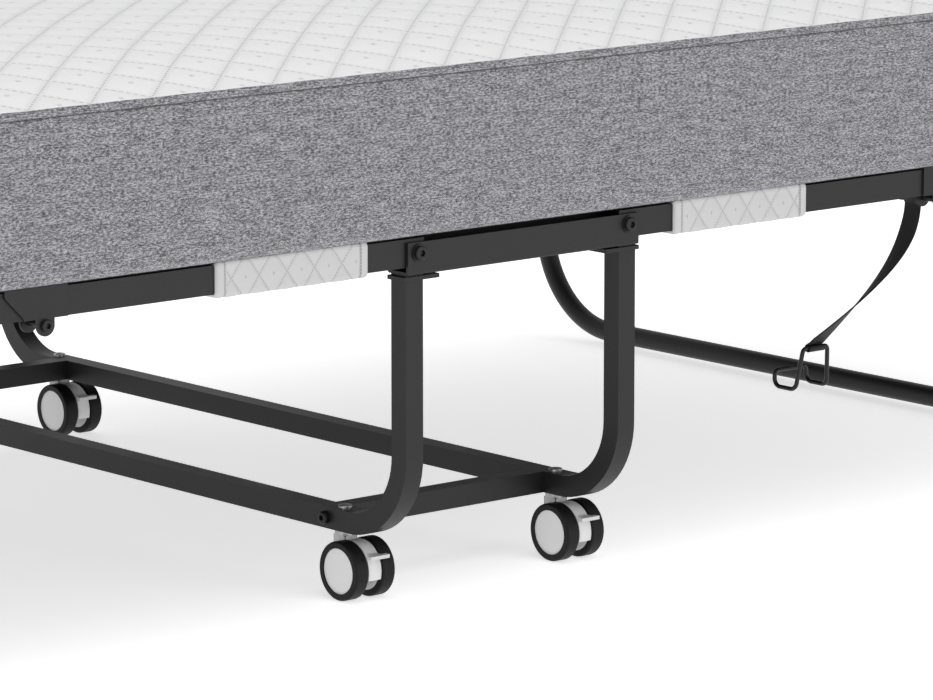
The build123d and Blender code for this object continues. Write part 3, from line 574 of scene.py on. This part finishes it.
def add_underside(skin, ring, columns, rows):
    """Strips across the underside. The first and the last also take in the points of their end."""
    near = ring[:columns]
    far = ring[columns + rows - 2:2 * columns + rows - 2][::-1]
    left_end = ring[2 * columns + rows - 2:][::-1]
    right_end = ring[columns:columns + rows - 2][::-1]
    for i in range(columns - 1):
        before = left_end if i == 0 else ()
        after = right_end if i == columns - 2 else ()
        skin.add_level((near[i], *before, far[i], far[i + 1], *after, near[i + 1]), UNDER)


def mattress_skin():
    """The whole skin, with rows of points where it is cut."""
    xs = grid_lines(TOP_PITCH[0], TOP_CENTRE[0], HALF_LENGTH - PANEL_INSET, (-CUT, 0.0, CUT))
    ys = grid_lines(TOP_PITCH[1], TOP_CENTRE[1], HALF_WIDTH - PANEL_INSET, ())
    skin = Skin()
    add_top(skin, xs, ys)
    ring = add_walls(skin, grid_rim(len(xs), len(ys)))
    add_underside(skin, ring, len(xs), len(ys))
    return skin


def vertex_normals(skin):
    """Area-weighted normals of the whole skin, so that the cut sections shade as one."""
    places = np.array(skin.points)
    total = np.zeros_like(places)
    for face in skin.faces:
        p = places[list(face)]
        n = np.zeros(3)
        for k in range(1, len(face) - 1):
            n += np.cross(p[k] - p[0], p[k + 1] - p[0])
        total[list(face)] += n
    return total / np.linalg.norm(total, axis=1)[:, None]


def close_cuts(mesh):
    """Closes a section's cut ends with flat faces of the border's cloth. Returns how many faces it had."""
    skin_faces = len(mesh.polygons)
    shape = bmesh.new()
    shape.from_mesh(mesh)
    bmesh.ops.holes_fill(shape, edges=[edge for edge in shape.edges if edge.is_boundary], sides=0)
    shape.faces.ensure_lookup_table()
    cloth = shape.loops.layers.uv["cloth"]
    for face in shape.faces[skin_faces:]:
        face.material_index = KNIT
        face.smooth = False
        for loop in face.loops:
            loop[cloth].uv = loop.vert.co.yz
    shape.to_mesh(mesh)
    shape.free()
    return skin_faces


def mattress_section(name, low_x, high_x, skin, normals):
    """The part of the skin between two places along the bed, closed where it was cut."""

    def middle_x(face):
        return sum(skin.points[c][0] for c in face[:3]) / 3

    chosen = [k for k, face in enumerate(skin.faces) if low_x < middle_x(face) < high_x]
    used = sorted({c for k in chosen for c in skin.faces[k]})
    renumber = {c: n for n, c in enumerate(used)}
    made = new_object(
        name,
        [skin.points[c] for c in used],
        [tuple(renumber[c] for c in skin.faces[k]) for k in chosen],
        [finishes["quilt"], finishes["border"], finishes["under"]],
        [skin.slots[k] for k in chosen],
        [skin.uvs[k] for k in chosen],
    )
    skin_faces = close_cuts(made.data)
    loop_normals = []
    for polygon in made.data.polygons:
        for vertex in polygon.vertices:
            normal = normals[used[vertex]] if polygon.index < skin_faces else polygon.normal
            loop_normals.append(tuple(normal))
    made.data.normals_split_custom_set(loop_normals)
    return made


def make_mattress():
    """Two halves that fold with the frame, and two middle pieces on the base that make room for them."""
    skin = mattress_skin()
    normals = vertex_normals(skin)
    for side, sign in (("left", -1), ("right", 1)):
        span = sorted((sign * CUT, sign * 2 * HALF_LENGTH))
        half = mattress_section(f"mattress_{side}", *span, skin, normals)
        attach(half, f"{side}_half")
        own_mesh(half)
        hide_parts(f"mattress_core_{side}", f"mattress_top_{side}")
        span = sorted((0.0, sign * CUT))
        middle = mattress_section(f"mattress_middle_{side}", *span, skin, normals)
        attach(middle, "base")
        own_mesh(middle)
        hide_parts(f"mattress_fold_{side}", "mattress_core_centre")


# Padded rail sleeves

SLEEVE_WALL = 3.4 * MM
SLEEVE_ROUND = 5.0 * MM
SLEEVE_STEP = 1.5 * MM
SLEEVE_BENDS = 5
SLEEVE_PUFF = 0.9 * MM
BEND_SPAN = 5 * MM
TUFT_START = 13.8 * MM
HEM_OVERLAP = 1.5 * MM
HEM_SINK = 0.1 * MM
END_ROUND, END_DROP = 3.0 * MM, 2.4 * MM
SEAM_SPAN, SEAM_DROP = 0.9 * MM, 1.0 * MM
EDGE_ROUND, EDGE_DROP = 2.5 * MM, 1.2 * MM
RUMPLE, RUMPLE_SIZE = 0.12 * MM, 0.02


def wrap_path(inner_y, outer_y, low_z, high_z):
    """Points round a rail from its inner bottom edge, under, up its outside and back over its top, with
    outward directions; y grows outwards from the bed."""
    radius = SLEEVE_ROUND
    run = outer_y - radius - inner_y
    steps = int(run / SLEEVE_STEP)
    under = [(Vector((inner_y + k / steps * run, low_z)), Vector((0, -1))) for k in range(steps + 1)]
    for k in range(1, SLEEVE_BENDS + 1):
        angle = math.pi / 2 * k / SLEEVE_BENDS
        out = Vector((math.sin(angle), -math.cos(angle)))
        under.append((Vector((outer_y - radius, low_z + radius)) + radius * out, out))
    rise = high_z - low_z - 2 * radius
    steps = int(rise / SLEEVE_STEP)
    side = [(Vector((outer_y, low_z + radius + rise * k / steps)), Vector((1, 0))) for k in range(1, steps)]
    over = [(Vector((p.x, low_z + high_z - p.y)), Vector((o.x, -o.y))) for p, o in reversed(under)]
    return under + side + over


def sleeve_relief(off_tuft, distance, around, bend_at, from_end):
    """How far the cloth stands out: puffed diamonds, a flat hem beyond its seam, and rounded edges."""
    off_middle = distance - around / 2
    p, q = off_tuft / SLEEVE_PITCH[0], off_middle / SLEEVE_PITCH[1]
    bent = min(abs(abs(off_middle) - bend_at) / BEND_SPAN, 1)
    raised = SLEEVE_PUFF * bent * (float(pillow(p + q, p - q, 2.2)) - 1)
    off_seam = from_end - HEM_WIDTH
    if off_seam < 0:
        raised = -HEM_SINK - END_DROP * max(0, 1 - from_end / END_ROUND) ** 2.5
    raised -= SEAM_DROP * math.exp(-(off_seam / SEAM_SPAN) ** 2)
    edge = min(distance, around - distance)
    return raised - EDGE_DROP * max(0, 1 - edge / EDGE_ROUND) ** 2


def make_sleeve(name, side, sign_x, sign_y):
    """One quilted sleeve round an inner rail, with a hem at each end."""
    low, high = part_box(f"rail_sleeves_{side}")
    rail_low, rail_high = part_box(f"inner_rail_{side}_{'near' if sign_y < 0 else 'far'}")
    near_end, far_end = sorted((abs(low.x), abs(high.x)))
    length = far_end - near_end
    path = wrap_path(min(abs(rail_low.y), abs(rail_high.y)), high.y, low.z, high.z)
    travel = [0.0]
    for (a, _), (b, _) in zip(path, path[1:]):
        travel.append(travel[-1] + (b - a).length)
    bend_at = (high.z - low.z) / 2 - SLEEVE_ROUND * (1 - math.pi / 4)
    tuft_x = near_end + TUFT_START
    count = round(length / SLEEVE_STEP)
    xs = [near_end + length * i / count for i in range(count + 1)]
    ends = [min(x - near_end, far_end - x) for x in xs]
    points, faces, uvs, slots = [], [], [], []
    for x, from_end in zip(xs, ends):
        for (place, out), distance in zip(path, travel):
            raised = sleeve_relief(x - tuft_x, distance, travel[-1], bend_at, from_end)
            raised += RUMPLE * roll(x * sign_x, distance + sign_y, 2.0, RUMPLE_SIZE)
            spot = place + out * raised
            points.append((sign_x * x, sign_y * spot.x, spot.y))
    outer_count, width = len(points), len(path)
    for x in xs:
        for place, out in path:
            spot = place - out * SLEEVE_WALL
            points.append((sign_x * x, sign_y * spot.x, spot.y))
    order = -1 if sign_x * sign_y < 0 else 1

    def add_face(corners, hemmed):
        uv = []
        for corner in corners:
            i, j = divmod(corner % outer_count, width)
            uv.append((ends[i] if hemmed else sign_x * (xs[i] - tuft_x), travel[j] - travel[-1] / 2))
        faces.append(corners[::order])
        uvs.append(uv[::order])
        slots.append(int(hemmed))

    for i in range(count):
        middle_x = (i + 0.5) * length / count
        hemmed = min(middle_x, length - middle_x) < HEM_WIDTH + HEM_OVERLAP
        for j in range(width - 1):
            a, b = i * width + j, (i + 1) * width + j
            add_face((a, a + 1, b + 1, b), hemmed)
            add_face(tuple(c + outer_count for c in (a, b, b + 1, a + 1)), hemmed)
        for j, turn in ((0, 1), (width - 1, -1)):
            a, b = i * width + j, (i + 1) * width + j
            add_face((a, b, b + outer_count, a + outer_count)[::turn], hemmed)
    for i, turn in ((0, -1), (count, 1)):
        for j in range(width - 1):
            a = i * width + j
            add_face((a, a + 1, a + 1 + outer_count, a + outer_count)[::turn], True)
    made = new_object(name, points, faces, [finishes["sleeve"], finishes["hem"]], slots, uvs)
    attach(made, f"{side}_half")
    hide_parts(f"rail_sleeves_{side}")


def make_sleeves():
    """The four sleeves, one on each inner rail."""
    for side, sign_x in (("left", -1), ("right", 1)):
        for depth, sign_y in (("near", -1), ("far", 1)):
            make_sleeve(f"sleeve_{side}_{depth}", side, sign_x, sign_y)


# Lock strap

STRAP_STEPS = 48
TWIST_START = 0.2
BOLT_LOOP = 4.3 * MM
BAR_LOOP = 3.3 * MM
HOOK_WIRE = 2 * MM
WEBBING_HALF_WIDTH = 9.9 * MM
WEBBING_HALF_THICK = 0.65 * MM


def strap_route():
    """The webbing's middle line with the direction of its width: round the bolt, down with a quarter turn,
    and round the top bar of the hook."""
    bolt = joint_at["strap_swing"]
    hook_low, hook_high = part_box("strap_hook")
    bar = Vector(((hook_low.x + hook_high.x) / 2, hook_low.y + HOOK_WIRE, hook_high.z - HOOK_WIRE))
    route = []
    for k in range(13):
        angle = math.radians(-60 + 25 * k)
        off_bolt = BOLT_LOOP * Vector((math.cos(angle), 0, math.sin(angle)))
        route.append((bolt + off_bolt, Vector((0, 1, 0))))
    start = bolt - Vector((0, 0, BOLT_LOOP))
    end = bar + Vector((0, 0, BAR_LOOP))
    for k in range(1, STRAP_STEPS):
        share = k / STRAP_STEPS
        bow = 1 - math.cos(math.pi / 2 * share)
        turn = math.pi / 2 * max(0, (share - TWIST_START) / (1 - TWIST_START)) ** 1.25
        hang = Vector(((end.x - start.x) * bow, (end.y - start.y) * bow, (end.z - start.z) * share))
        route.append((start + hang, Vector((math.sin(turn), math.cos(turn), 0))))
    for k in range(11):
        angle = math.radians(90 - 30 * k)
        off_bar = BAR_LOOP * Vector((0, math.cos(angle), math.sin(angle)))
        route.append((bar + off_bar, Vector((1, 0, 0))))
    return route


def make_strap():
    """The webbing as a thin band with its real thickness."""
    route = strap_route()
    underneath = ((-1, -0.6), (-0.93, -1), (0, -1), (0.93, -1), (1, -0.6))
    rim = underneath + tuple((-side, -lift) for side, lift in underneath)
    around = len(rim)
    spots = [spot for spot, _ in route]
    travel, points, faces, uvs = [0.0], [], [], []
    for here, there in zip(spots, spots[1:]):
        travel.append(travel[-1] + (there - here).length)
    for k, (spot, across) in enumerate(route):
        ahead = (spots[min(k + 1, len(spots) - 1)] - spots[max(k - 1, 0)]).normalized()
        across = (across - ahead * across.dot(ahead)).normalized()
        face = ahead.cross(across)
        for side, lift in rim:
            points.append(spot + across * side * WEBBING_HALF_WIDTH + face * lift * WEBBING_HALF_THICK)
    for k in range(len(route) - 1):
        here, there = travel[k], travel[k + 1]
        for j in range(around):
            n = (j + 1) % around
            a = k * around
            faces.append((a + j, a + n, a + n + around, a + j + around))
            low, high = rim[j][0] * WEBBING_HALF_WIDTH, rim[n][0] * WEBBING_HALF_WIDTH
            uvs.append([(low, here), (high, here), (high, there), (low, there)])
    for end_face in (range(around - 1, -1, -1), range(len(points) - around, len(points))):
        faces.append(tuple(end_face))
        uvs.append([(0, 0)] * around)
    strap = new_object("lock_webbing", points, faces, [finishes["webbing"]], uvs=uvs)
    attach(strap, "strap")
    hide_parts("lock_strap")


# Caster shells

BAND_START, BAND_END, BAND_STEPS = -16, 112, 48
BAND_HALF_WIDTH = 6.7 * MM
BAND_INSET = 1.0 * MM
# Across the band: share of its half width, and height off its outer face in millimetres
BAND_RIM = ((-1, -1.6), (-1, -0.5), (-0.9, -0.1), (0, 0.1), (0.9, -0.1), (1, -0.5), (1, -1.6), (0, -1.6))
NECK_SIDES = 32
STEM_BACK = 15.4
# The neck from its foot up: height above the axle, half width, half length and how square it is
NECK = ((12.0, 6.9, 7.9, 8), (25.9, 6.9, 7.9, 8), (26.6, 6.5, 7.5, 8))


def add_band(points, faces, axle, radius):
    """The band between the wheels, from the lower front over the top."""
    around = len(BAND_RIM)
    for k in range(BAND_STEPS + 1):
        angle = math.radians(BAND_START + (BAND_END - BAND_START) * k / BAND_STEPS)
        out = Vector((0, -math.cos(angle), math.sin(angle)))
        for side, lift in BAND_RIM:
            points.append(axle + Vector((side * BAND_HALF_WIDTH, 0, 0)) + out * (radius + lift * MM))
    for a in range(0, around * BAND_STEPS, around):
        for j in range(around):
            n = (j + 1) % around
            faces.append((a + j, a + j + around, a + n + around, a + n))
    faces.append(tuple(range(around)))
    faces.append(tuple(range(len(points) - 1, len(points) - 1 - around, -1)))


def add_neck(points, faces, axle):
    """A block with round corners under the stem."""
    first = len(points)
    for height, wide, long, square in NECK:
        for k in range(NECK_SIDES):
            angle = 2 * math.pi * k / NECK_SIDES
            c, n = math.cos(angle), math.sin(angle)
            x = math.copysign(abs(c) ** (2 / square), c) * wide
            y = math.copysign(abs(n) ** (2 / square), n) * long
            points.append(axle + Vector((x, STEM_BACK + y, height)) * MM)
    for level in range(len(NECK) - 1):
        a = first + level * NECK_SIDES
        for k in range(NECK_SIDES):
            n = (k + 1) % NECK_SIDES
            faces.append((a + k, a + n, a + n + NECK_SIDES, a + k + NECK_SIDES))
    faces.append(tuple(range(first + NECK_SIDES - 1, first - 1, -1)))
    faces.append(tuple(range(len(points) - NECK_SIDES, len(points))))


def make_caster_shells():
    """The light shell of each caster."""
    for place in (f"{x}_{y}" for x in ("left", "right") for y in ("near", "far")):
        low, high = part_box(f"caster_tyres_{place}")
        axle = (low + high) / 2
        points, faces = [], []
        add_band(points, faces, axle, (high.z - low.z) / 2 - BAND_INSET)
        add_neck(points, faces, axle)
        shell = new_object(f"caster_shell_{place}", points, faces, [finishes["caster"]])
        shell.data.set_sharp_from_angle(angle=math.radians(40))
        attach(shell, f"caster_{place}")


make_camera((-2.9004, -3.7739, 1.0122), -40.515, 10.352, 207.9)
finish_cad_nodes()
make_mattress()
make_sleeves()
make_strap()
make_caster_shells()

floor_corners = [(-30, -30, 0), (30, -30, 0), (30, 30, 0), (-30, 30, 0)]
floor = new_object("floor", floor_corners, [(0, 1, 2, 3)], [pale_floor()])
area_light("overhead", (-0.6, -0.8, 3.4), (0.0, 0.0, 0.3), 3.0, 38)
area_light("front", (1.2, -4.6, 1.1), (0.0, -0.3, 0.25), 2.2, 34)
area_light("left", (-4.6, -1.6, 1.0), (0.0, -0.3, 0.25), 2.2, 34)
world = bpy.data.worlds.new("studio")
world.use_nodes = True
world.node_tree.nodes["Background"].inputs[0].default_value = (1.0, 1.0, 1.0, 1.0)
world.node_tree.nodes["Background"].inputs[1].default_value = 0.62
scene.world = world
scene.view_settings.view_transform = "Standard"

bpy.context.view_layer.update()
